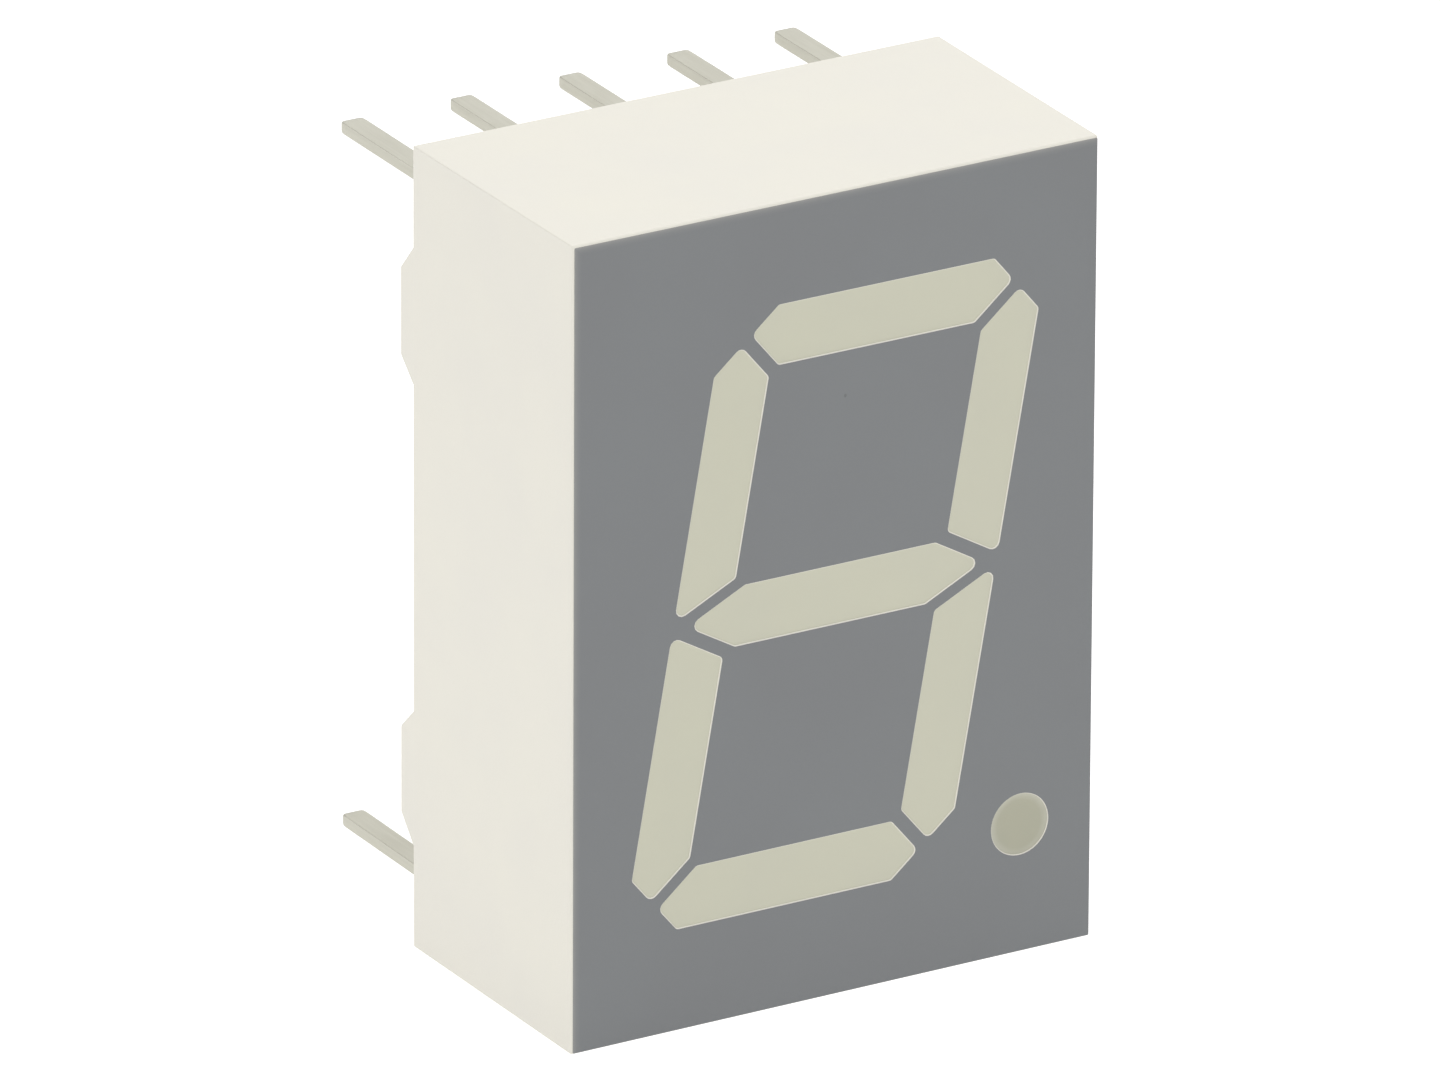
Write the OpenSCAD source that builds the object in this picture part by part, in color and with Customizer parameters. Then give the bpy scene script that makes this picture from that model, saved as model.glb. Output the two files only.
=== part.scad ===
// Single-digit seven segment display, 13.2 mm digit, ten rear pins in two rows.
// Frame: +X to the viewer's right, +Y backwards along the pins, +Z up the digit.
// Origin: centre of the ten-pin pattern, on the plane of the four rear feet.

/* [Body] */
// Width of the body at the front face
body_w_front = 12.18; // [12:0.01:12.4]
// Width of the body at the rear rim, a little wider from moulding draft
body_w_rear = 12.27; // [12.1:0.01:12.5]
// Height of the body
body_h = 17.5; // [17.3:0.05:18]
// Depth from the front face to the rear rim
face_to_rim = 6.33; // [6:0.01:7]
// Thickness of the side, top and bottom walls
wall = 0.57; // [0.5:0.01:0.6]
// Height of the rear feet above the rim
foot_h = 0.52; // [0.3:0.01:0.8]
// Distance from mid height to the near end of a foot
foot_z_min = 3.55; // [3:0.05:4]
// Distance from mid height to the far end of a foot
foot_z_max = 6.56; // [6:0.02:7.5]
// How far the pin rows sit below the middle of the body
pin_row_drop = 0.12; // [0:0.01:0.15]

/* [Face] */
// Thickness of the printed grey layer on the front face
ink_t = 0.04; // [0.02:0.01:0.06]
// Bare margin around the printed layer
ink_margin = 0.03; // [0:0.01:0.1]

/* [Digit] */
// Height of the lit digit, outer edge to outer edge
digit_h = 13.12; // [12.8:0.02:13.3]
// Width of the digit before it is slanted
digit_w = 7.56; // [7.3:0.02:7.8]
// Stroke of the horizontal bars
bar_h = 1.29; // [1.1:0.01:1.4]
// Stroke of the upright bars
bar_w = 1.3; // [1.1:0.01:1.4]
// Gap between neighbouring bars, measured square to the gap
bar_gap = 0.29; // [0.2:0.01:0.4]
// Slant of the digit from vertical, degrees
slant = 10; // [0:1:12]
// Offset of the digit's centre from the middle of the face, X then Z
digit_off = [0.03, 0.02];
// Diameter of the decimal point
point_d = 1.36; // [1.2:0.02:1.5]
// Centre of the decimal point from the middle of the face, X then Z
point_at = [4.42, -5.94];

/* [Light wells] */
// Depth of the light wells behind the printed layer
well_depth = 4.16; // [3.8:0.02:4.4]
// Size of a well at the board as a share of its size at the face
well_taper = 0.74; // [0.7:0.01:0.8]

/* [Circuit board] */
// Thickness of the board
board_t = 0.8; // [0.6:0.05:1]
// Clearance between the board's edge and the walls
board_clear = 0.08; // [0.05:0.01:0.1]
// Thickness of the copper
copper_t = 0.035; // [0.02:0.005:0.05]
// Width of a copper track
track_w = 0.3; // [0.2:0.01:0.35]
// Edge of a light emitting die
die_w = 0.28; // [0.2:0.01:0.3]
// Height of a light emitting die
die_h = 0.2; // [0.15:0.01:0.25]
// Diameter of a bond wire
wire_d = 0.04; // [0.03:0.005:0.05]

/* [Pins] */
// Distance between neighbouring pins of a row
pitch = 2.54;
// Distance between the two rows
row_gap = 15.24;
// Width of a pin along its row
pin_w = 0.5; // [0.45:0.01:0.55]
// Thickness of a pin across its row
pin_t = 0.25; // [0.2:0.01:0.3]
// Length of a pin behind the feet
pin_out = 3.86; // [3:0.02:6]

/* [Rear filling] */
// Thickness of the resin over the back of the board
potting_t = 0.65; // [0.6:0.01:0.8]

/* [Hidden] */
eps = 0.01;
y_rim = -foot_h;
y_face = y_rim - face_to_rim;
y_plastic = y_face + ink_t;
y_board = y_plastic + well_depth;
y_board_back = y_board + board_t;
y_resin = y_board_back + potting_t;
mid_z = pin_row_drop;
cav_x = body_w_rear / 2 - wall;
cav_z = body_h / 2 - wall;
board_x = cav_x - board_clear;
board_z = cav_z - board_clear;

// Digit outline, drawn upright about its own centre
oz = digit_h / 2;
iz = oz - bar_h;
ox = digit_w / 2;
ix = ox - bar_w;
corner = oz + ox - 1.27;
half = bar_gap / sqrt(2);
mitre = oz - ox;
g_slope = 0.53;
g_half = bar_gap / 2 * sqrt(1 + 1 / (g_slope * g_slope));
g_tip = ox - 0.03;
function up(p) = [for (q = p) [q[0], -q[1]]];
function across(p) = [for (q = p) [-q[0], q[1]]];
bar_top = [[-(corner - mitre - half) / 2, (corner + mitre + half) / 2], [oz - corner, oz], [corner - oz, oz],
           [(corner - mitre - half) / 2, (corner + mitre + half) / 2], [iz - mitre - half, iz], [mitre + half - iz, iz]];
bar_right = [[(corner - mitre + half) / 2, (corner + mitre - half) / 2], [ox, corner - ox], [ox, g_slope * (g_tip + g_half - ox)],
             [ix, g_slope * (g_tip + g_half - ix)], [ix, ix + mitre - half]];
g_end = g_tip - g_half;
bar_mid = [[-g_end, 0], [bar_h / 2 / g_slope - g_end, bar_h / 2], [g_end - bar_h / 2 / g_slope, bar_h / 2],
           [g_end, 0], [g_end - bar_h / 2 / g_slope, -bar_h / 2], [bar_h / 2 / g_slope - g_end, -bar_h / 2]];
// Bars in the order a, b, c, d, e, f, g
bars = [bar_top, bar_right, up(bar_right), up(bar_top), across(up(bar_right)), across(bar_right), bar_mid];
bz = (oz + iz) / 2;
bx = (ox + ix) / 2;
sz = (corner + mitre) / 4 + 0.05;
hubs = [[0, bz], [bx, sz], [bx, -sz], [0, -bz], [-bx, -sz], [-bx, sz], [0, 0]];
// Direction from the die to its wire pad, along each bar
ways = [[1, 0], [0, 1], [0, 1], [-1, 0], [0, -1], [0, 1], [-1, 0]];
bond_len = 0.9;
function slanted(p) = [digit_off[0] + p[0] + tan(slant) * p[1], mid_z + digit_off[1] + p[1]];
point_c = [point_at[0], mid_z + point_at[1]];
function die_at(i) = i < 7 ? slanted(hubs[i]) : point_c + [-0.22, 0];
function pad_at(i) = i < 7 ? slanted(hubs[i] + bond_len * ways[i]) : point_c + [0.26, 0];
// Pin 1 is at the lower left seen from the front; the count runs right, then back along the top
function pin_at(n) = n <= 5 ? [(n - 3) * pitch, -row_gap / 2] : [(8 - n) * pitch, row_gap / 2];
// Pin that each die's wire leads to, in the order a to g, then the point
feeds = [7, 6, 4, 2, 1, 9, 10, 5];
commons = [3, 8];

// A flat outline in X and Z, made solid from y0 back by t
module slab(y0, t) translate([0, y0 + t, 0]) rotate([90, 0, 0]) linear_extrude(height = t) children();
module plate(x, z, zc, y0, t) translate([-x, y0, zc - z]) cube([2 * x, t, 2 * z]);
module line2(p, q, w) {
    d = q - p;
    translate(p) rotate(atan2(d[1], d[0])) translate([-w / 2, -w / 2]) square([norm(d) + w, w]);
}
module bar_outline(i) polygon([for (p = bars[i]) slanted(p)]);

// One light well, widening from the board to the face
module well(i) {
    c = i < 7 ? slanted(hubs[i]) : point_c;
    if (i < 7) translate([c[0], y_board, c[1]]) rotate([90, 0, 0])
        linear_extrude(height = well_depth, scale = 1 / well_taper)
            polygon([for (p = bars[i]) well_taper * (slanted(p) - c)]);
    else translate([point_c[0], y_board, point_c[1]]) rotate([90, 0, 0])
        cylinder(h = well_depth, d1 = point_d * 0.82, d2 = point_d, $fn = 64);
}
module face_opening(i, y0, t) {
    if (i < 7) slab(y0, t) bar_outline(i);
    else translate([point_c[0], y0 + t, point_c[1]]) rotate([90, 0, 0]) cylinder(h = t, d = point_d, $fn = 64);
}

module foot(side, end) {
    z0 = foot_z_min;
    z1 = foot_z_max;
    // side profile in Y and Z with sloping ends, run through the wall's thickness
    translate([side > 0 ? cav_x : -cav_x - wall, 0, mid_z]) scale([1, 1, 1]) mirror([0, 0, end < 0 ? 1 : 0])
        rotate([90, 0, 90]) linear_extrude(height = wall)
            polygon([[y_rim - 0.2, z0], [y_rim, z0], [0, z0 + 0.5], [0, z1 - 0.6], [y_rim, z1], [y_rim - 0.2, z1]]);
}
module housing() color([0.93, 0.92, 0.88]) difference() {
    union() {
        translate([0, 0, mid_z - body_h / 2]) linear_extrude(height = body_h)
            polygon([[-body_w_front / 2, y_plastic], [body_w_front / 2, y_plastic], [body_w_rear / 2, y_rim], [-body_w_rear / 2, y_rim]]);
        for (side = [-1, 1], end = [-1, 1]) foot(side, end);
    }
    plate(cav_x, cav_z, mid_z, y_board, face_to_rim);
    for (i = [0:7]) well(i);
}
module face_print() color([0.52, 0.53, 0.54]) difference() {
    plate(body_w_front / 2 - ink_margin, body_h / 2 - ink_margin, mid_z, y_face, ink_t);
    for (i = [0:7]) face_opening(i, y_face - eps, ink_t + 2 * eps);
}
module light_guide(i) color([0.8, 0.8, 0.73]) union() {
    difference() {
        well(i);
        die_solid(i);
        wire_solid(i);
    }
    face_opening(i, y_face, ink_t);
}

module die_solid(i) {
    p = die_at(i);
    translate([p[0] - die_w / 2, y_board - die_h, p[1] - die_w / 2]) cube([die_w, die_h, die_w]);
}
module led_die(i) color([0.75, 0.62, 0.3]) die_solid(i);

// Arched wire from the top of the die down to its pad
wire_rings = 10;
module wire_solid(i) {
    p = die_at(i);
    q = pad_at(i);
    run = norm(q - p);
    dir = (q - p) / run;
    r = wire_d / 2;
    arch = 0.22;
    ring = [for (k = [0:wire_rings]) let (t = 180 * k / wire_rings,
            s = run * (1 - cos(t)) / 2,
            h = die_h * (1 + cos(t)) / 2 + arch * sin(t),
            n = [-cos(t), sin(t)])
        for (j = [0:3]) let (a = 90 * j, ds = r * cos(a) * n[0], dh = r * cos(a) * n[1], du = r * sin(a))
            [p[0] + dir[0] * (s + ds) - dir[1] * du, y_board - h - dh, p[1] + dir[1] * (s + ds) + dir[0] * du]];
    polyhedron(points = ring, faces = concat([[3, 2, 1, 0]],
        [for (k = [0:wire_rings - 1], j = [0:3]) [4 * k + j, 4 * k + (j + 1) % 4, 4 * k + 4 + (j + 1) % 4, 4 * k + 4 + j]],
        [[4 * wire_rings, 4 * wire_rings + 1, 4 * wire_rings + 2, 4 * wire_rings + 3]]));
}
module bond_wire(i) color([0.85, 0.7, 0.3]) wire_solid(i);

// Copper seen from the front of the board: one shared net of die pads, and the wire pads
module copper_front_2d() intersection() {
    union() {
        for (i = [0:7]) {
            translate(die_at(i)) square(i < 7 ? 0.5 : 0.36, center = true);
            translate(pad_at(i)) square(i < 7 ? 0.44 : 0.3, center = true);
        }
        line2(die_at(0), pin_at(8), track_w);
        for (k = [[0, 1], [0, 5], [5, 6], [6, 4], [6, 2], [4, 3]]) line2(die_at(k[0]), die_at(k[1]), track_w);
        line2(die_at(2), die_at(7), track_w);
        line2(die_at(3), pin_at(3), track_w);
        for (n = [1:10]) translate(pin_at(n)) square(0.96, center = true);
    }
    translate([0, mid_z]) square([2 * board_x - 0.08, 2 * board_z - 0.08], center = true);
}
// Copper on the back of the board: one track from each wire pad to its pin
g_bend = [[-4.45, 1.1], [-5.0, 2.2]];
module copper_back_2d() intersection() {
    union() {
        for (i = [0:5]) line2(pad_at(i), pin_at(feeds[i]), track_w);
        line2(pad_at(7), pin_at(feeds[7]), track_w);
        line2(pad_at(6), g_bend[0], track_w);
        line2(g_bend[0], g_bend[1], track_w);
        line2(g_bend[1], pin_at(10), track_w);
        for (i = [0:7]) translate(pad_at(i)) square(0.44, center = true);
        for (n = [1:10]) translate(pin_at(n)) square(0.96, center = true);
    }
    translate([0, mid_z]) square([2 * board_x - 0.08, 2 * board_z - 0.08], center = true);
}
hole_d = 0.66;
module pin_holes(y0, t) for (n = [1:10]) let (p = pin_at(n))
    translate([p[0], y0 + t, p[1]]) rotate([90, 0, 0]) cylinder(h = t, d = hole_d, $fn = 32);
module vias(grow = 0) for (i = [0:7]) let (p = pad_at(i))
    translate([p[0] - 0.1, y_board + grow, p[1] - 0.1]) cube([0.2, board_t - 2 * grow, 0.2]);
module copper_tracks() color([0.78, 0.5, 0.3]) difference() {
    union() {
        slab(y_board, copper_t) copper_front_2d();
        slab(y_board_back - copper_t, copper_t) copper_back_2d();
        vias();
    }
    pin_holes(y_board - eps, board_t + 2 * eps);
}
module circuit_board() color([0.2, 0.42, 0.3]) difference() {
    plate(board_x, board_z, mid_z, y_board, board_t);
    slab(y_board, copper_t) copper_front_2d();
    slab(y_board_back - copper_t, copper_t) copper_back_2d();
    vias();
    pin_holes(y_board - eps, board_t + 2 * eps);
}

module pin_solid(n) {
    p = pin_at(n);
    w = pin_w / 2;
    translate([p[0], 0, p[1] - pin_t / 2]) linear_extrude(height = pin_t)
        polygon([[-w, y_board], [w, y_board], [w, pin_out - 0.1], [w - 0.08, pin_out], [0.08 - w, pin_out], [-w, pin_out - 0.1]]);
}
module pin(n) color([0.78, 0.77, 0.72]) pin_solid(n);
module joint_solid(n) {
    p = pin_at(n);
    translate([p[0], y_board_back, p[1]]) rotate([-90, 0, 0]) cylinder(h = 0.5, d1 = 0.84, d2 = 0.6, $fn = 48);
}
module solder_joints() color([0.75, 0.75, 0.76]) difference() {
    intersection() {
        union() {
            for (n = [1:10]) joint_solid(n);
            pin_holes(y_board, board_t);
        }
        plate(board_x - 0.02, board_z - 0.02, mid_z, y_board, board_t + potting_t);
    }
    for (n = [1:10]) pin_solid(n);
}
module back_resin() color([0.86, 0.85, 0.74]) difference() {
    plate(cav_x, cav_z, mid_z, y_board, y_resin - y_board);
    plate(board_x, board_z, mid_z, y_board - eps, board_t + eps);
    intersection() {
        union() for (n = [1:10]) joint_solid(n);
        plate(board_x - 0.02, board_z - 0.02, mid_z, y_board, board_t + potting_t);
    }
    for (n = [1:10]) pin_solid(n);
}

housing();
face_print();
light_guide(0);  // segment_a
light_guide(1);  // segment_b
light_guide(2);  // segment_c
light_guide(3);  // segment_d
light_guide(4);  // segment_e
light_guide(5);  // segment_f
light_guide(6);  // segment_g
light_guide(7);  // decimal_point
circuit_board();
copper_tracks();
led_die(0);  // led_die_a
led_die(1);  // led_die_b
led_die(2);  // led_die_c
led_die(3);  // led_die_d
led_die(4);  // led_die_e
led_die(5);  // led_die_f
led_die(6);  // led_die_g
led_die(7);  // led_die_point
bond_wire(0);  // bond_wire_a
bond_wire(1);  // bond_wire_b
bond_wire(2);  // bond_wire_c
bond_wire(3);  // bond_wire_d
bond_wire(4);  // bond_wire_e
bond_wire(5);  // bond_wire_f
bond_wire(6);  // bond_wire_g
bond_wire(7);  // bond_wire_point
pin(1);  // pin_1
pin(2);  // pin_2
pin(3);  // pin_3
pin(4);  // pin_4
pin(5);  // pin_5
pin(6);  // pin_6
pin(7);  // pin_7
pin(8);  // pin_8
pin(9);  // pin_9
pin(10);  // pin_10
solder_joints();
back_resin();
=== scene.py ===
# Seven segment display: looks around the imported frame. Metres, +X right, +Y back, +Z up.
import math

import bpy
import bmesh
from mathutils import Matrix, Vector


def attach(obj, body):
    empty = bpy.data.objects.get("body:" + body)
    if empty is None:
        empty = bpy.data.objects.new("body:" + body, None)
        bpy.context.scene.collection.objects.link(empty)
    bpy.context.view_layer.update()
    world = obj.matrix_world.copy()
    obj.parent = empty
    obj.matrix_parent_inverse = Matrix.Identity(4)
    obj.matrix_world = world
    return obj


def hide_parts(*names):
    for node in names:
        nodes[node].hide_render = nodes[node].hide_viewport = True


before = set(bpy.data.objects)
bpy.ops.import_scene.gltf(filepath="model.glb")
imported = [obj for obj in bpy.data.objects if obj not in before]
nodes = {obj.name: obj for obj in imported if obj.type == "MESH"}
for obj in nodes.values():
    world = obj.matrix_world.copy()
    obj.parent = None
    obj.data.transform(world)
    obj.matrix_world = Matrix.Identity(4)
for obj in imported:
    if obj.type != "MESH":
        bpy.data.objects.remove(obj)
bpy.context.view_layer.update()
MM = 0.001

# ---------------------------------------------------------------- camera
cam_data = bpy.data.cameras.new("camera")
cam = bpy.data.objects.new("camera", cam_data)
bpy.context.scene.collection.objects.link(cam)
right = Vector((0.86311555, -0.50498702, 0.00443349)).normalized()
back = Vector((-0.4679389, -0.7964305, 0.38305566)).normalized()
up = back.cross(right).normalized()
right = up.cross(back).normalized()
m = Matrix((right, up, back)).transposed().to_4x4()
m.translation = Vector((-0.21860073, -0.37437876, 0.17864291))
cam.matrix_world = m
cam_data.sensor_fit = "HORIZONTAL"
cam_data.sensor_width = 36.0
cam_data.lens = 576.7
cam_data.clip_start = 0.01
cam_data.clip_end = 20.0
cam_data.dof.use_dof = False
bpy.context.scene.camera = cam
bpy.context.scene.view_settings.view_transform = "Standard"
bpy.context.scene.view_settings.look = "None"

# ---------------------------------------------------------------- sizes, in mm, as in the part's source
Y_FACE, INK_T, WELL = -6.85, 0.04, 4.16
Y_PLASTIC = Y_FACE + INK_T
Y_BOARD = Y_PLASTIC + WELL
Y_RIM = -0.52
Y_RESIN = Y_BOARD + 0.8 + 0.65
MID = 0.12
WF, WR, H, WALL = 12.18, 12.27, 17.5, 0.57
CAV_X, CAV_Z = WR / 2 - WALL, H / 2 - WALL
oz, iz, ox, ix = 6.56, 5.27, 3.78, 2.48
corner = oz + ox - 1.27
mitre = oz - ox
gap = 0.29
half = gap / math.sqrt(2)
gs = 0.53
g_half = gap / 2 * math.sqrt(1 + 1 / gs ** 2)
g_tip = ox - 0.03
g_end = g_tip - g_half
SL = math.tan(math.radians(10))
DP = (4.42, MID - 5.94)
DP_R = 0.68
DPW, DPW_R = (4.412, MID - 5.932), 0.664
SKIN = 0.007  # the ink itself; behind it the wells show their pale walls
Y_SKIN = Y_FACE + SKIN


def slanted(p):
    a, b = p[0] * 0.998, p[1] * 0.997
    return (0.035 + a + SL * b, MID + 0.012 + b)


top = [(-(corner - mitre - half) / 2, (corner + mitre + half) / 2), (oz - corner, oz), (corner - oz, oz),
       ((corner - mitre - half) / 2, (corner + mitre + half) / 2), (iz - mitre - half, iz), (mitre + half - iz, iz)]
rgt = [((corner - mitre + half) / 2, (corner + mitre - half) / 2), (ox, corner - ox), (ox, gs * (g_tip + g_half - ox)),
       (ix, gs * (g_tip + g_half - ix)), (ix, ix + mitre - half)]
mid = [(-g_end, 0), (0.645 / gs - g_end, 0.645), (g_end - 0.645 / gs, 0.645), (g_end, 0), (g_end - 0.645 / gs, -0.645), (0.645 / gs - g_end, -0.645)]


def flip(p, sx, sz):
    q = [(sx * a, sz * b) for a, b in p]
    return q if sx * sz > 0 else q[::-1]


BARS = {"a": top, "b": rgt, "c": flip(rgt, 1, -1), "d": flip(top, 1, -1), "e": flip(rgt, -1, -1), "f": flip(rgt, -1, 1), "g": mid}
bz, bx = (oz + iz) / 2, (ox + ix) / 2
sz = (corner + mitre) / 4 + 0.05
HUBS = {"a": (0, bz), "b": (bx, sz), "c": (bx, -sz), "d": (0, -bz), "e": (-bx, -sz), "f": (-bx, sz), "g": (0, 0)}
PINS = {n: ((n - 3) * 2.54, -7.62) if n <= 5 else ((8 - n) * 2.54, 7.62) for n in range(1, 11)}


# ---------------------------------------------------------------- outline tools
def ccw(p):
    a = sum(p[i][0] * p[(i + 1) % len(p)][1] - p[(i + 1) % len(p)][0] * p[i][1] for i in range(len(p)))
    return p if a > 0 else p[::-1]


def inset(p, d):
    """A convex outline moved inwards by d on every side."""
    p = ccw(p)
    n = len(p)
    lines = []
    for i in range(n):
        a, b = Vector(p[i]), Vector(p[(i + 1) % n])
        t = (b - a).normalized()
        nrm = Vector((-t.y, t.x))
        lines.append((a + nrm * d, t))
    out = []
    for i in range(n):
        (a, t), (b, u) = lines[i - 1], lines[i]
        den = t.x * u.y - t.y * u.x
        s = ((b.x - a.x) * u.y - (b.y - a.y) * u.x) / den
        out.append((a.x + t.x * s, a.y + t.y * s))
    return out


def rounded(p, r, k=5, tips=1.0):
    """The outline with its corners rounded to radius r, k points each; corners of 105 degrees or less take r times tips."""
    p = ccw(p)
    n = len(p)
    out = []
    for i in range(n):
        a, b, c = Vector(p[i - 1]), Vector(p[i]), Vector(p[(i + 1) % n])
        u, w = (a - b).normalized(), (c - b).normalized()
        ang = u.angle(w)
        ri = r * tips if ang < math.radians(105) else r
        d = min(ri / math.tan(ang / 2), 0.45 * min((a - b).length, (c - b).length))
        rr = d * math.tan(ang / 2)
        cen = b + (u + w).normalized() * (rr / math.sin(ang / 2))
        s, e = b + u * d, b + w * d
        a0 = math.atan2(s.y - cen.y, s.x - cen.x)
        a1 = math.atan2(e.y - cen.y, e.x - cen.x)
        while a1 < a0:
            a1 += 2 * math.pi
        for j in range(k):
            t = a0 + (a1 - a0) * j / (k - 1)
            out.append((cen.x + rr * math.cos(t), cen.y + rr * math.sin(t)))
    return out


def bar_outline(k):
    """The opening in the ink for one bar."""
    return inset([slanted(q) for q in BARS[k]], -0.011)


def bar_mouth(k):
    """The mouth of the well behind it: a hair smaller, so a fine rim of pale plastic shows, most at the right and below."""
    return [(x - 0.009, z + 0.009) for x, z in inset(bar_outline(k), 0.021)]


def circle(c, r, n=64):
    return [(c[0] + r * math.cos(2 * math.pi * i / n), c[1] + r * math.sin(2 * math.pi * i / n)) for i in range(n)]


def make(name, bm, material, smooth=30, weighted=True):
    """A mesh object from a bmesh in mm, with its material."""
    bmesh.ops.recalc_face_normals(bm, faces=bm.faces)
    bmesh.ops.scale(bm, vec=(MM, MM, MM), verts=bm.verts)
    me = bpy.data.meshes.new(name)
    bm.to_mesh(me)
    bm.free()
    o = bpy.data.objects.new(name, me)
    bpy.context.scene.collection.objects.link(o)
    if material:
        me.materials.append(material)
    if smooth:
        for f in me.polygons:
            f.use_smooth = True
        me.set_sharp_from_angle(angle=math.radians(smooth))
        if weighted:
            w = o.modifiers.new("weighted", "WEIGHTED_NORMAL")
            w.keep_sharp = True
            w.weight = 90
    return o


def loft(bm, rings, cap0=True, cap1=True):
    """Rings of (x, y, z) points joined in turn; each end is closed with one face."""
    vs = [[bm.verts.new(p) for p in r] for r in rings]
    n = len(vs[0])
    for a, b in zip(vs, vs[1:]):
        for i in range(n):
            bm.faces.new((a[i], a[(i + 1) % n], b[(i + 1) % n], b[i]))
    if cap0:
        bm.faces.new(vs[0][::-1])
    if cap1:
        bm.faces.new(vs[-1])
    return vs


def apply_bool(target, cutter, op):
    md = target.modifiers.new("b", "BOOLEAN")
    md.operation = op
    md.solver = "EXACT"
    md.object = cutter
    bpy.context.view_layer.update()
    dg = bpy.context.evaluated_depsgraph_get()
    me = bpy.data.meshes.new_from_object(target.evaluated_get(dg))
    target.modifiers.clear()
    old = target.data
    target.data = me
    bpy.data.meshes.remove(old)
    bpy.data.objects.remove(cutter, do_unlink=True)


# ---------------------------------------------------------------- materials
def material(name):
    mt = bpy.data.materials.new(name)
    mt.use_nodes = True
    nt = mt.node_tree
    bsdf = nt.nodes["Principled BSDF"]
    return mt, nt, bsdf


def coords(nt, scale):
    tc = nt.nodes.new("ShaderNodeTexCoord")
    mp = nt.nodes.new("ShaderNodeMapping")
    mp.inputs["Scale"].default_value = scale if isinstance(scale, tuple) else (scale, scale, scale)
    nt.links.new(tc.outputs["Object"], mp.inputs["Vector"])
    return mp.outputs["Vector"]


def noise(nt, vec, scale=1.0, detail=3.0, rough=0.55):
    n = nt.nodes.new("ShaderNodeTexNoise")
    n.inputs["Scale"].default_value = scale
    n.inputs["Detail"].default_value = detail
    n.inputs["Roughness"].default_value = rough
    nt.links.new(vec, n.inputs["Vector"])
    return n.outputs["Fac"]


def ramp(nt, fac, stops):
    r = nt.nodes.new("ShaderNodeValToRGB")
    els = r.color_ramp.elements
    while len(els) < len(stops):
        els.new(0.5)
    for e, (p, c) in zip(els, stops):
        e.position = p
        e.color = (c, c, c, 1) if isinstance(c, (int, float)) else (*c, 1)
    nt.links.new(fac, r.inputs["Fac"])
    return r.outputs["Color"]


def mix(nt, fac, a, b, blend="MIX"):
    mx = nt.nodes.new("ShaderNodeMix")
    mx.data_type = "RGBA"
    mx.blend_type = blend
    for sock, v in ((mx.inputs["Factor"], fac), (mx.inputs["A"], a), (mx.inputs["B"], b)):
        if hasattr(v, "links"):
            nt.links.new(v, sock)
        elif isinstance(v, tuple):
            sock.default_value = (*v, 1)
        else:
            sock.default_value = v
    return mx.outputs["Result"]


def bump(nt, bsdf, height, strength, dist):
    b = nt.nodes.new("ShaderNodeBump")
    b.inputs["Strength"].default_value = strength
    b.inputs["Distance"].default_value = dist
    nt.links.new(height, b.inputs["Height"])
    nt.links.new(b.outputs["Normal"], bsdf.inputs["Normal"])


def math_node(nt, op, a, b=None):
    n = nt.nodes.new("ShaderNodeMath")
    n.operation = op
    for i, v in enumerate((a, b)):
        if v is None:
            continue
        if hasattr(v, "links"):
            nt.links.new(v, n.inputs[i])
        else:
            n.inputs[i].default_value = v
    return n.outputs[0]


def clouded(name, colour, amount, cloud_mm, grain_mm, rough, bump_strength, warm=(1.0, 0.995, 0.98), rough_var=0.05, ior=1.5, spec=0.5, metallic=0.0, fine_amount=0.5):
    """A material with soft clouding, a fine grain in colour and relief, and uneven gloss."""
    mt, nt, bsdf = material(name)
    c = Vector(colour)
    lo = tuple(c * (1 - amount))
    hi = tuple(min(1.0, v * (1 + amount) * w) for v, w in zip(c, warm))
    big = noise(nt, coords(nt, 1000.0 / cloud_mm), 1.0, 3.0, 0.5)
    fine = noise(nt, coords(nt, 1000.0 / grain_mm), 1.0, 2.0, 0.6)
    col = ramp(nt, big, [(0.3, lo), (0.7, hi)])
    fine_c = ramp(nt, fine, [(0.25, 1 - amount * fine_amount), (0.75, 1.0)])
    col = mix(nt, 1.0, col, fine_c, "MULTIPLY")
    nt.links.new(col, bsdf.inputs["Base Color"])
    r = ramp(nt, big, [(0.25, rough - rough_var), (0.75, rough + rough_var)])
    nt.links.new(r, bsdf.inputs["Roughness"])
    bsdf.inputs["IOR"].default_value = ior
    bsdf.inputs["Specular IOR Level"].default_value = spec
    bsdf.inputs["Metallic"].default_value = metallic
    bump(nt, bsdf, fine, bump_strength, grain_mm * MM * 0.15)
    return mt, nt, bsdf, col, fine


PLASTIC = clouded("housing_plastic", (0.80, 0.775, 0.70), 0.018, 2.6, 0.055, 0.42, 0.35, warm=(1.0, 1.0, 0.985), spec=0.35)[0]
RESIN = clouded("light_guide_resin", (0.583, 0.577, 0.466), 0.012, 1.6, 0.09, 0.34, 0.1, warm=(1.0, 1.0, 0.985), spec=0.3)[0]


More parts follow.
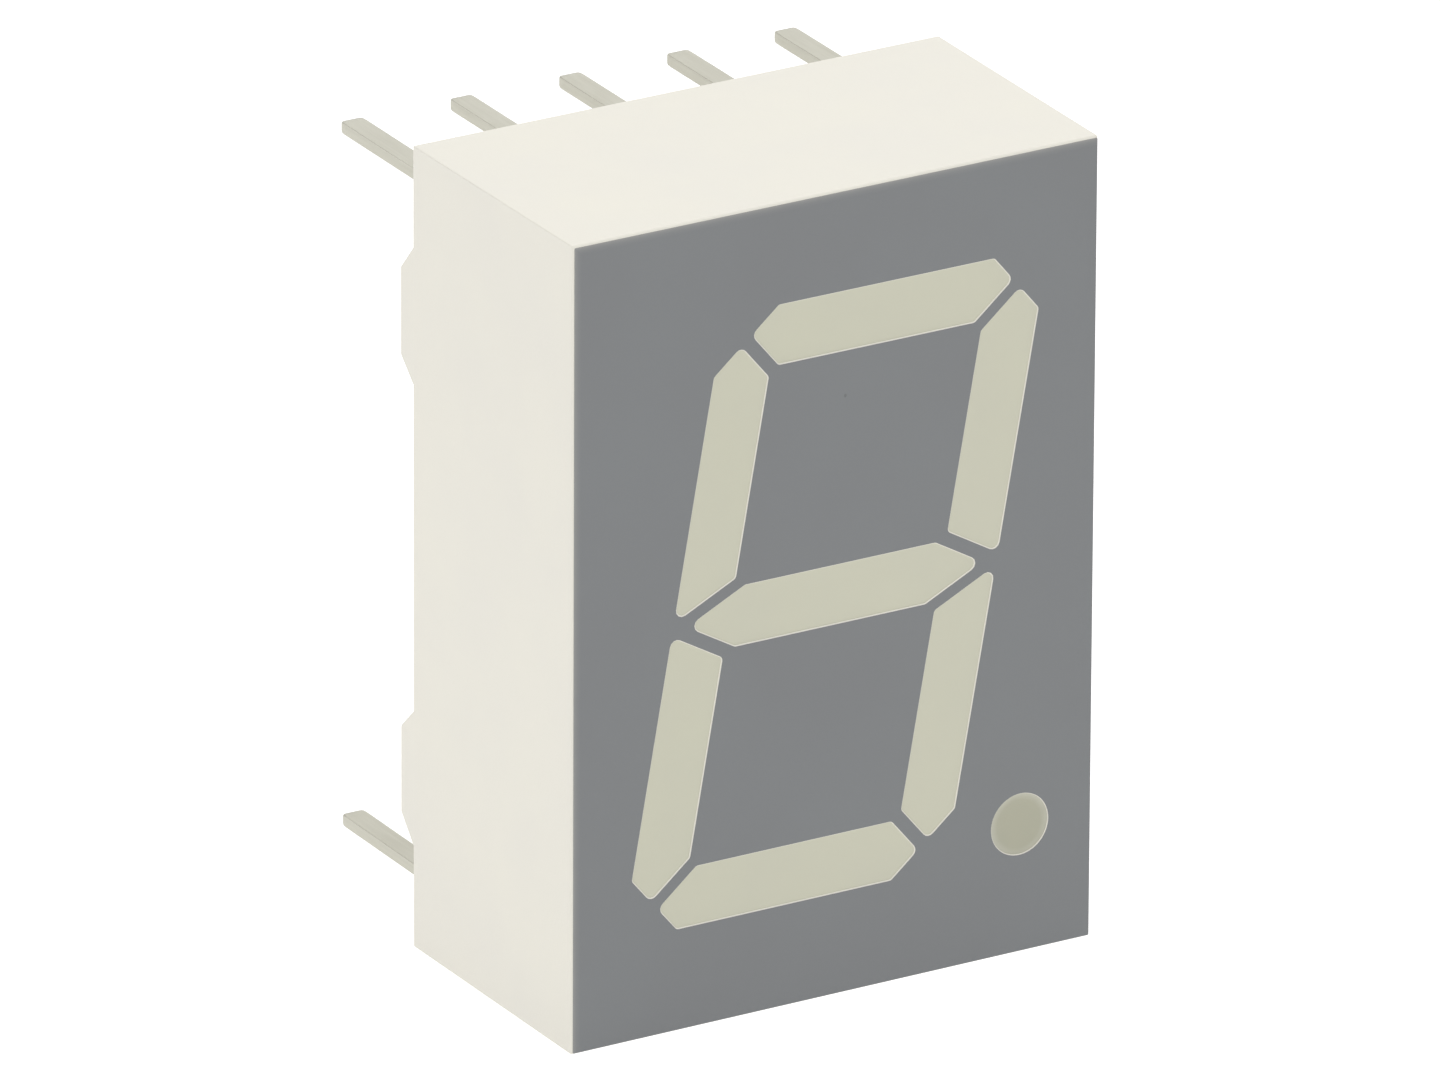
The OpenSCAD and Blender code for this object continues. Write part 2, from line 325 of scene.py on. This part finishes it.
def point_material():
    """The point's resin: a darker copy of the bars' resin, painted shade for its small deep well, paler again in a ring
    towards the wall of its well as painted light.
    """
    # the base colour is the bars' resin made darker: painted shade
    mt, nt, bsdf, col, fine = clouded("point_resin_painted_shade", (0.424, 0.42, 0.328), 0.012, 0.9, 0.09, 0.32, 0.06, warm=(1.0, 0.995, 0.98), spec=0.35)
    tc = nt.nodes.new("ShaderNodeTexCoord")
    mp = nt.nodes.new("ShaderNodeMapping")
    k = 1 / (DP_R * MM)
    mp.inputs["Location"].default_value = (-DP[0] / DP_R, 0, -DP[1] / DP_R)
    mp.inputs["Scale"].default_value = (k, 0, k)
    nt.links.new(tc.outputs["Object"], mp.inputs["Vector"])
    ln = nt.nodes.new("ShaderNodeVectorMath")
    ln.operation = "LENGTH"
    nt.links.new(mp.outputs["Vector"], ln.inputs[0])
    wob = noise(nt, coords(nt, 1000 / 0.6), 1.0, 2.0, 0.5)
    rad = math_node(nt, "ADD", ln.outputs["Value"], math_node(nt, "MULTIPLY", math_node(nt, "SUBTRACT", wob, 0.5), 0.12))
    # the centre a touch darker than the edge: painted shade
    ring = ramp(nt, rad, [(0.55, (0.985, 0.985, 0.98)), (0.9, (1.0, 1.0, 1.0))])
    shaded_point_colour = mix(nt, 1.0, col, ring, "MULTIPLY")
    # towards the wall the colour goes back near the bars' resin: painted light at the rim
    pale = ramp(nt, rad, [(0.76, 0.0), (0.99, 0.6)])
    nt.links.new(mix(nt, pale, shaded_point_colour, (0.56, 0.555, 0.475)), bsdf.inputs["Base Color"])
    return mt


POINT = point_material()


def ink_material():
    mt, nt, bsdf, col, fine = clouded("face_ink", (0.2165, 0.2235, 0.2295), 0.022, 3.2, 0.05, 0.55, 0.3, warm=(0.99, 1.0, 1.0), spec=0.25, fine_amount=1.0)
    # one fine speck under the top bar
    tc = nt.nodes.new("ShaderNodeTexCoord")
    mp = nt.nodes.new("ShaderNodeMapping")
    mp.vector_type = "POINT"
    mp.inputs["Location"].default_value = (-0.000234 / 0.00004, 0, -0.004409 / 0.00005)
    mp.inputs["Scale"].default_value = (1 / 0.00004, 0, 1 / 0.00005)
    nt.links.new(tc.outputs["Object"], mp.inputs["Vector"])
    ln = nt.nodes.new("ShaderNodeVectorMath")
    ln.operation = "LENGTH"
    nt.links.new(mp.outputs["Vector"], ln.inputs[0])
    spot = ramp(nt, ln.outputs["Value"], [(0.55, 0.78), (1.0, 1.0)])
    # painted highlight: the ink is made paler along the left and the top edge, standing in for the light those edges
    # catch
    sp = nt.nodes.new("ShaderNodeSeparateXYZ")
    nt.links.new(tc.outputs["Object"], sp.inputs["Vector"])
    dl = math_node(nt, "ADD", math_node(nt, "MULTIPLY", sp.outputs["X"], 1000.0), WF / 2)
    dt = math_node(nt, "SUBTRACT", MID + H / 2, math_node(nt, "MULTIPLY", sp.outputs["Z"], 1000.0))
    # a noise makes the inner edge of the painted highlight ragged
    highlight_edge_wobble = math_node(nt, "MULTIPLY", math_node(nt, "SUBTRACT", noise(nt, coords(nt, 1000 / 0.35), 1.0, 3.0, 0.6), 0.5), 0.03)
    near = math_node(nt, "ADD", math_node(nt, "MINIMUM", dl, dt), highlight_edge_wobble)
    painted_edge_highlight = ramp(nt, near, [(0.055, 0.5), (0.09, 0.25), (0.14, 0.10), (0.22, 0.0)])
    col2 = mix(nt, painted_edge_highlight, mix(nt, 1.0, col, spot, "MULTIPLY"), (0.42, 0.415, 0.38))
    nt.links.new(col2, bsdf.inputs["Base Color"])
    return mt


INK = ink_material()


def pin_material():
    mt, nt, bsdf = material("tinned_pin")
    streak = noise(nt, coords(nt, (1000 / 0.09, 1000 / 1.8, 1000 / 0.07)), 1.0, 4.0, 0.6)
    blot = noise(nt, coords(nt, 1000 / 0.7), 1.0, 3.0, 0.5)
    col = ramp(nt, streak, [(0.25, (0.485, 0.472, 0.395)), (0.75, (0.60, 0.588, 0.505))])
    col = mix(nt, 0.5, col, ramp(nt, blot, [(0.3, (0.505, 0.493, 0.415)), (0.7, (0.588, 0.576, 0.495))]))
    nt.links.new(col, bsdf.inputs["Base Color"])
    bsdf.inputs["Metallic"].default_value = 0.5
    nt.links.new(ramp(nt, blot, [(0.3, 0.36), (0.7, 0.52)]), bsdf.inputs["Roughness"])
    bump(nt, bsdf, streak, 0.25, 0.00001)
    return mt


PIN = pin_material()


def board_material():
    mt, nt, bsdf, col, fine = clouded("board_laminate", (0.045, 0.16, 0.075), 0.08, 1.5, 0.2, 0.35, 0.2)
    return mt


def metal(name, colour, rough, amount=0.08):
    return clouded(name, colour, amount, 0.5, 0.06, rough, 0.2, metallic=1.0, rough_var=0.06)[0]


BOARD = board_material()
COPPER = metal("copper", (0.72, 0.42, 0.26), 0.35)
GOLD = metal("bond_wire", (0.9, 0.68, 0.28), 0.25)
SOLDER = metal("solder", (0.72, 0.72, 0.73), 0.28)
DIE = clouded("die", (0.42, 0.33, 0.12), 0.1, 0.15, 0.03, 0.25, 0.1)[0]


def back_resin_material():
    """Milky cast resin with faint flow marks, a clearer edge and a few small bubbles."""
    mt, nt, bsdf, col, fine = clouded("potting_resin", (0.655, 0.622, 0.50), 0.035, 2.4, 0.12, 0.2, 0.04, warm=(1.0, 0.99, 0.96), spec=0.5, rough_var=0.05)
    tc = nt.nodes.new("ShaderNodeTexCoord")
    sp = nt.nodes.new("ShaderNodeSeparateXYZ")
    nt.links.new(tc.outputs["Object"], sp.inputs["Vector"])
    ax = math_node(nt, "SUBTRACT", math_node(nt, "ABSOLUTE", sp.outputs["X"]), (CAV_X - 0.45) * MM)
    az = math_node(nt, "SUBTRACT", math_node(nt, "ABSOLUTE", math_node(nt, "SUBTRACT", sp.outputs["Z"], MID * MM)), (CAV_Z - 0.45) * MM)
    edge = math_node(nt, "MULTIPLY", math_node(nt, "MAXIMUM", ax, az), 1000.0)
    wob = noise(nt, coords(nt, 1000 / 0.9), 1.0, 2.0, 0.5)
    edge = math_node(nt, "ADD", edge, math_node(nt, "MULTIPLY", math_node(nt, "SUBTRACT", wob, 0.5), 0.3))
    fac = ramp(nt, edge, [(0.0, 0.0), (0.4, 1.0)])
    inner = mix(nt, 1.0, col, (0.95, 0.965, 0.945), "MULTIPLY")
    col2 = mix(nt, fac, inner, col)
    # bubbles: a few of the cells of a coarse pattern hold a small round one, drawn in colour only, with a dark ring of
    # painted shade at its edge and a slightly paler centre as painted highlight
    vo = nt.nodes.new("ShaderNodeTexVoronoi")
    vo.feature = "F1"
    vo.inputs["Scale"].default_value = 1.0
    vo.inputs["Randomness"].default_value = 1.0
    nt.links.new(coords(nt, (1000 / 1.1, 1000 / 6.0, 1000 / 1.1)), vo.inputs["Vector"])
    sep = nt.nodes.new("ShaderNodeSeparateColor")
    nt.links.new(vo.outputs["Color"], sep.inputs["Color"])
    size = math_node(nt, "MULTIPLY", math_node(nt, "MAXIMUM", math_node(nt, "SUBTRACT", sep.outputs[0], 0.62), 0.0), 0.22)
    dist = math_node(nt, "SUBTRACT", vo.outputs["Distance"], size)
    shade = ramp(nt, math_node(nt, "ADD", dist, 0.5), [(0.47, 1.03), (0.497, 0.86), (0.515, 1.0)])
    col3 = mix(nt, 1.0, col2, shade, "MULTIPLY")
    nt.links.new(col3, bsdf.inputs["Base Color"])
    bsdf.inputs["Coat Weight"].default_value = 0.35
    bsdf.inputs["Coat Roughness"].default_value = 0.1
    return mt


POTTING = back_resin_material()


# ---------------------------------------------------------------- pieces
def root(o, slot, *stands_for):
    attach(o, "root")
    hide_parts(*stands_for)
    return o


def bevel_sharp(bm, width, segments=4, angle=40):
    es = [e for e in bm.edges if len(e.link_faces) == 2 and e.calc_face_angle() > math.radians(angle)]
    bmesh.ops.bevel(bm, geom=es, offset=width, offset_type="OFFSET", segments=segments, profile=0.5, affect="EDGES", clamp_overlap=True)


def housing_piece():
    bm = bmesh.new()

    def ring_at(y, soft, crisp):
        w = (WF + (WR - WF) * (y - Y_SKIN) / (Y_RIM - Y_SKIN)) / 2
        q = [(soft - w, MID - H / 2 + crisp), (w - crisp, MID - H / 2 + crisp), (w - crisp, MID + H / 2 - soft), (soft - w, MID + H / 2 - soft)]
        return [(x, y, z) for x, z in rounded(q, 0.03, 6)]

    rings = []
    for i in range(6):
        a = math.pi / 2 * i / 5
        rings.append(ring_at(Y_SKIN + 0.04 * (1 - math.cos(a)), 0.04 * (1 - math.sin(a)), 0.008 * (1 - math.sin(a))))
    for i in range(6):
        a = math.pi / 2 * i / 5
        rings.append(ring_at(Y_RIM - 0.05 * (1 - math.sin(a)), 0.05 * (1 - math.cos(a)), 0.05 * (1 - math.cos(a))))
    loft(bm, rings)
    body = make("housing_body", bm, PLASTIC, smooth=None)
    # four feet on the rear rim
    for side in (-1, 1):
        for end in (-1, 1):
            f = bmesh.new()
            z0, z1 = 3.55, 6.56
            prof = [(Y_RIM - 0.12, z0 + 0.02), (Y_RIM, z0), (0, z0 + 0.5), (0, z1 - 0.6), (Y_RIM, z1), (Y_RIM - 0.12, z1 - 0.02)]
            x0, x1 = (CAV_X, WR / 2 - 0.004) if side > 0 else (-WR / 2 + 0.004, -CAV_X)
            loft(f, [[(x, y, MID + end * z) for y, z in prof] for x in (x0, x1)])
            bmesh.ops.recalc_face_normals(f, faces=f.faces)
            bevel_sharp(f, 0.05, segments=3, angle=30)
            foot = make("foot", f, PLASTIC, smooth=None)
            apply_bool(body, foot, "UNION")
    # the pocket for the board, with rounded corners and a slight lead-in at its mouth
    c = bmesh.new()
    box2 = [(-CAV_X, MID - CAV_Z), (CAV_X, MID - CAV_Z), (CAV_X, MID + CAV_Z), (-CAV_X, MID + CAV_Z)]
    ring = lambda y, grow: [(x, y, z) for x, z in rounded(inset(box2, -grow), 0.22, 7)]
    loft(c, [ring(Y_BOARD, 0.0), ring(Y_RIM - 0.06, 0.0), ring(Y_RIM - 0.02, 0.02), ring(Y_RIM + 0.02, 0.07)])
    pocket = make("pocket", c, PLASTIC, smooth=None)
    # keep the feet whole: the mouth's lead-in stops at the rim, and above it the cut is straight
    apply_bool(body, pocket, "DIFFERENCE")
    for k, p in BARS.items():
        w = bmesh.new()
        h = slanted(HUBS[k])
        out = bar_mouth(k)
        big = rounded(out, 0.10, tips=1.4)
        small = [(h[0] + 0.74 * (x - h[0]), h[1] + 0.74 * (z - h[1])) for x, z in big]
        e = 0.01 / WELL
        loft(w, [[(x, Y_SKIN - 0.02, z) for x, z in big], [(x, Y_PLASTIC, z) for x, z in big],
                 [(sx - (x - sx) * e, Y_BOARD + 0.01, sz_ - (z - sz_) * e) for (x, z), (sx, sz_) in zip(big, small)]])
        apply_bool(body, make("well", w, PLASTIC, smooth=None), "DIFFERENCE")
    w = bmesh.new()
    loft(w, [[(x, Y_SKIN - 0.02, z) for x, z in circle(DPW, DPW_R)], [(x, Y_PLASTIC, z) for x, z in circle(DPW, DPW_R)], [(x, Y_BOARD + 0.01, z) for x, z in circle(DPW, DPW_R * 0.82)]])
    apply_bool(body, make("well", w, PLASTIC, smooth=None), "DIFFERENCE")
    me = body.data
    me.name = "housing_detail"
    body.name = "housing_detail"
    b2 = bmesh.new()
    b2.from_mesh(me)
    bmesh.ops.remove_doubles(b2, verts=b2.verts, dist=2e-7)
    bmesh.ops.recalc_face_normals(b2, faces=b2.faces)
    b2.to_mesh(me)
    b2.free()
    me.materials.clear()
    me.materials.append(PLASTIC)
    for f in me.polygons:
        f.use_smooth = True
    me.set_sharp_from_angle(angle=math.radians(28))
    wn = body.modifiers.new("weighted", "WEIGHTED_NORMAL")
    wn.keep_sharp = True
    wn.weight = 95
    return root(body, "housing_plastic", "housing")


def print_piece():
    """The printed layer: one very fine sheet with openings for the bars and the point."""
    bm = bmesh.new()

    def outline(k):
        q = [(-WF / 2 + 0.054 + k, MID - H / 2 + 0.005 + k), (WF / 2 - 0.005 - k, MID - H / 2 + 0.005 + k), (WF / 2 - 0.005 - k, MID + H / 2 - 0.05 - k), (-WF / 2 + 0.054 + k, MID + H / 2 - 0.05 - k)]
        return rounded(q, 0.03, 6)

    loft(bm, [[(x, Y_SKIN, z) for x, z in outline(0)], [(x, Y_FACE + 0.003, z) for x, z in outline(0.001)], [(x, Y_FACE, z) for x, z in outline(0.004)]])
    sheet = make("face_print_detail", bm, INK, smooth=None)
    for k in list(BARS) + ["p"]:
        w = bmesh.new()
        out = rounded(bar_outline(k), 0.112, tips=1.4) if k != "p" else circle(DP, DP_R)
        loft(w, [[(x, y, z) for x, z in out] for y in (Y_FACE - 0.05, Y_SKIN + 0.05)])
        apply_bool(sheet, make("cut", w, INK, smooth=None), "DIFFERENCE")
    me = sheet.data
    me.materials.clear()
    me.materials.append(INK)
    for f in me.polygons:
        f.use_smooth = True
    me.set_sharp_from_angle(angle=math.radians(25))
    wn = sheet.modifiers.new("weighted", "WEIGHTED_NORMAL")
    wn.keep_sharp = True
    wn.weight = 95
    return root(sheet, "face_ink", "face_print")


def guide_piece(k):
    """A cast bar: a frustum behind the face, with a soft sunk skin at the front."""
    bm = bmesh.new()
    h = slanted(HUBS[k])
    out = bar_mouth(k)
    big = rounded(out, 0.10, tips=1.4)
    rings = [[(h[0] + 0.74 * (x - h[0]), Y_BOARD, h[1] + 0.74 * (z - h[1])) for x, z in big],
             [(x, Y_PLASTIC, z) for x, z in big]]
    # the skin clings to the mouth of the well, then dips
    for d, y in ((0.0, 0.013), (0.006, 0.0155), (0.02, 0.019), (0.05, 0.023), (0.10, 0.027), (0.17, 0.030), (0.25, 0.0325), (0.34, 0.034)):
        rings.append([(x, Y_FACE + y, z) for x, z in rounded(inset(out, d), max(0.10 - d * 0.3, 0.03), tips=1.4)])
    loft(bm, rings)
    o = make("segment_%s_cast" % k, bm, RESIN, smooth=35)
    return root(o, "light_guide_resin", "segment_" + k)


def point_piece():
    bm = bmesh.new()
    rings = [[(x, Y_BOARD, z) for x, z in circle(DPW, DPW_R * 0.82)], [(x, Y_PLASTIC, z) for x, z in circle(DPW, DPW_R)]]
    for d, y in ((0.0, 0.018), (0.010, 0.023), (0.03, 0.030), (0.08, 0.040), (0.15, 0.049), (0.25, 0.056), (0.4, 0.061), (0.58, 0.063)):
        rings.append([(x, Y_FACE + y, z) for x, z in circle(DPW, DPW_R - d)])
    loft(bm, rings)
    o = make("decimal_point_cast", bm, POINT, smooth=35)
    return root(o, "light_guide_resin", "decimal_point")


def pin_piece(n):
    """A flat stamped pin with rolled long edges and a slightly drawn-in tip."""
    bm = bmesh.new()
    cx, cz = PINS[n]

    def section(y, w, t, r, dx=0.0):
        q = [(cx - w / 2 + dx, cz - t / 2), (cx + w / 2 + dx, cz - t / 2), (cx + w / 2 + dx, cz + t / 2), (cx - w / 2 + dx, cz + t / 2)]
        return [(x, y, z) for x, z in rounded(q, r, 5)]

    tip = 3.86
    rings = [section(Y_BOARD, 0.5, 0.25, 0.013), section(-1.4, 0.5, 0.25, 0.013), section(1.0, 0.5, 0.25, 0.013), section(tip - 0.22, 0.5, 0.25, 0.013),
             section(tip - 0.085, 0.497, 0.249, 0.024), section(tip - 0.04, 0.476, 0.241, 0.045), section(tip - 0.011, 0.438, 0.22, 0.05), section(tip, 0.395, 0.185, 0.05)]
    loft(bm, rings)
    o = make("pin_%d_stamped" % n, bm, PIN, smooth=40)
    return root(o, "tinned_pin", "pin_%d" % n)


def potting_piece():
    """The cast resin behind the board: a surface that creeps up the walls and the pins."""
    bm = bmesh.new()

    def axis(lim, centres, step=0.16):
        pts = set()
        x = -lim
        while x < lim + 1e-6:
            pts.add(round(x, 4))
            x += step
        pts.add(round(lim, 4))
        for c in centres:
            for d in (-0.46, -0.4, -0.35, -0.31, -0.28, -0.255, -0.22, -0.19, -0.16, -0.13, 0.13, 0.16, 0.19, 0.22, 0.255, 0.28, 0.31, 0.35, 0.4, 0.46):
                if abs(c + d) < lim:
                    pts.add(round(c + d, 4))
        for d in (0.03, 0.07, 0.12, 0.18, 0.26):
            pts.add(round(lim - d, 4))
            pts.add(round(d - lim, 4))
        out = sorted(pts)
        keep = [out[0]]
        for p in out[1:]:
            if p - keep[-1] > 0.018:
                keep.append(p)
        keep[-1] = lim
        return keep

    xs = axis(CAV_X - 0.002, [p[0] for p in PINS.values()])
    zs = [MID + z for z in axis(CAV_Z - 0.002, [-7.62 - MID, 7.62 - MID])]
    r0 = 0.22

    def level(x, z):
        wx, wz = CAV_X - abs(x), CAV_Z - abs(z - MID)
        if wx < r0 and wz < r0:
            wall = max(r0 - math.hypot(r0 - wx, r0 - wz), 0.0)
        else:
            wall = min(wx, wz)
        rise = 0.2 * math.exp(-wall / 0.12) + 0.05 * math.exp(-wall / 0.55)
        for px, pz in PINS.values():
            dx, dz = max(abs(x - px) - 0.25, 0.0), max(abs(z - pz) - 0.125, 0.0)
            d = math.hypot(dx, dz)
            if d < 1.5:
                rise += 0.17 * math.exp(-d / 0.075) + 0.03 * math.exp(-d / 0.3)
        wave = 0.012 * math.sin(x * 1.3 + 0.7) * math.cos(z * 0.9 + 0.4) + 0.008 * math.sin(x * 2.3 - z * 1.1)
        return Y_RESIN - 0.06 + min(rise, 0.42) + wave

    grid = [[bm.verts.new((x, level(x, z), z)) for z in zs] for x in xs]
    for i in range(len(xs) - 1):
        for j in range(len(zs) - 1):
            bm.faces.new((grid[i][j], grid[i + 1][j], grid[i + 1][j + 1], grid[i][j + 1]))
    # sides and underside, down to the back of the board
    rim = [grid[i][0] for i in range(len(xs))] + [grid[-1][j] for j in range(1, len(zs))] + [grid[i][-1] for i in range(len(xs) - 2, -1, -1)] + [grid[0][j] for j in range(len(zs) - 2, 0, -1)]
    low = [bm.verts.new((v.co.x, Y_BOARD + 0.8, v.co.z)) for v in rim]
    n = len(rim)
    for i in range(n):
        bm.faces.new((rim[i], low[i], low[(i + 1) % n], rim[(i + 1) % n]))
    bm.faces.new(low)
    o = make("back_resin_cast", bm, POTTING, smooth=50, weighted=False)
    return root(o, "potting_resin", "back_resin")


housing_piece()
print_piece()
for key in BARS:
    guide_piece(key)
point_piece()
for num in PINS:
    pin_piece(num)
potting_piece()

# sealed pieces keep their CAD shape
for name, o in nodes.items():
    mat = None
    if name == "circuit_board":
        mat = BOARD
    elif name == "copper_tracks":
        mat = COPPER
    elif name == "solder_joints":
        mat = SOLDER
    elif name.startswith("led_die"):
        mat = DIE
    elif name.startswith("bond_wire"):
        mat = GOLD
    if mat:
        o.data.materials.clear()
        o.data.materials.append(mat)

# ---------------------------------------------------------------- floor and light
z_floor = MID * MM - H / 2 * MM
fb = bmesh.new()
bmesh.ops.create_grid(fb, x_segments=1, y_segments=1, size=3.0)
fm = bpy.data.meshes.new("floor")
fb.to_mesh(fm)
fb.free()
floor = bpy.data.objects.new("floor", fm)
bpy.context.scene.collection.objects.link(floor)
floor.location = (0, 0, z_floor - 0.00001)
fmat, fnt, fbsdf = material("floor_white")
fn = noise(fnt, coords(fnt, 40.0), 1.0, 2.0)
fnt.links.new(ramp(fnt, fn, [(0.3, 0.44), (0.7, 0.46)]), fbsdf.inputs["Base Color"])
fbsdf.inputs["Roughness"].default_value = 0.9
fbsdf.inputs["Specular IOR Level"].default_value = 0.0
fbsdf.inputs["Emission Color"].default_value = (1, 1, 1, 1)
fbsdf.inputs["Emission Strength"].default_value = 0.835
fm.materials.append(fmat)

world = bpy.data.worlds.new("studio")
bpy.context.scene.world = world
world.use_nodes = True
wn = world.node_tree
bg = wn.nodes["Background"]
bg.inputs["Color"].default_value = (1.0, 1.0, 1.0, 1)
bg.inputs["Strength"].default_value = 0.58
bg2 = wn.nodes.new("ShaderNodeBackground")
bg2.inputs["Color"].default_value = (1, 1, 1, 1)
bg2.inputs["Strength"].default_value = 1.0
lp = wn.nodes.new("ShaderNodeLightPath")
ms = wn.nodes.new("ShaderNodeMixShader")
wn.links.new(lp.outputs["Is Camera Ray"], ms.inputs[0])
wn.links.new(bg.outputs[0], ms.inputs[1])
wn.links.new(bg2.outputs[0], ms.inputs[2])
wn.links.new(ms.outputs[0], wn.nodes["World Output"].inputs["Surface"])


def area(name, at, size, power, target=(0, -0.003, 0)):
    ld = bpy.data.lights.new(name, "AREA")
    ld.shape = "SQUARE"
    ld.size = size
    ld.energy = power
    lo = bpy.data.objects.new(name, ld)
    bpy.context.scene.collection.objects.link(lo)
    lo.location = at
    d = Vector(target) - Vector(at)
    lo.rotation_euler = d.to_track_quat("-Z", "Y").to_euler()
    return lo


area("key_top", (0.02, 0.0, 0.43), 0.30, 0.92)
area("fill_left", (-0.42, -0.22, 0.16), 0.30, 0.10)
area("fill_back", (0.30, 0.42, 0.22), 0.30, 0.22)
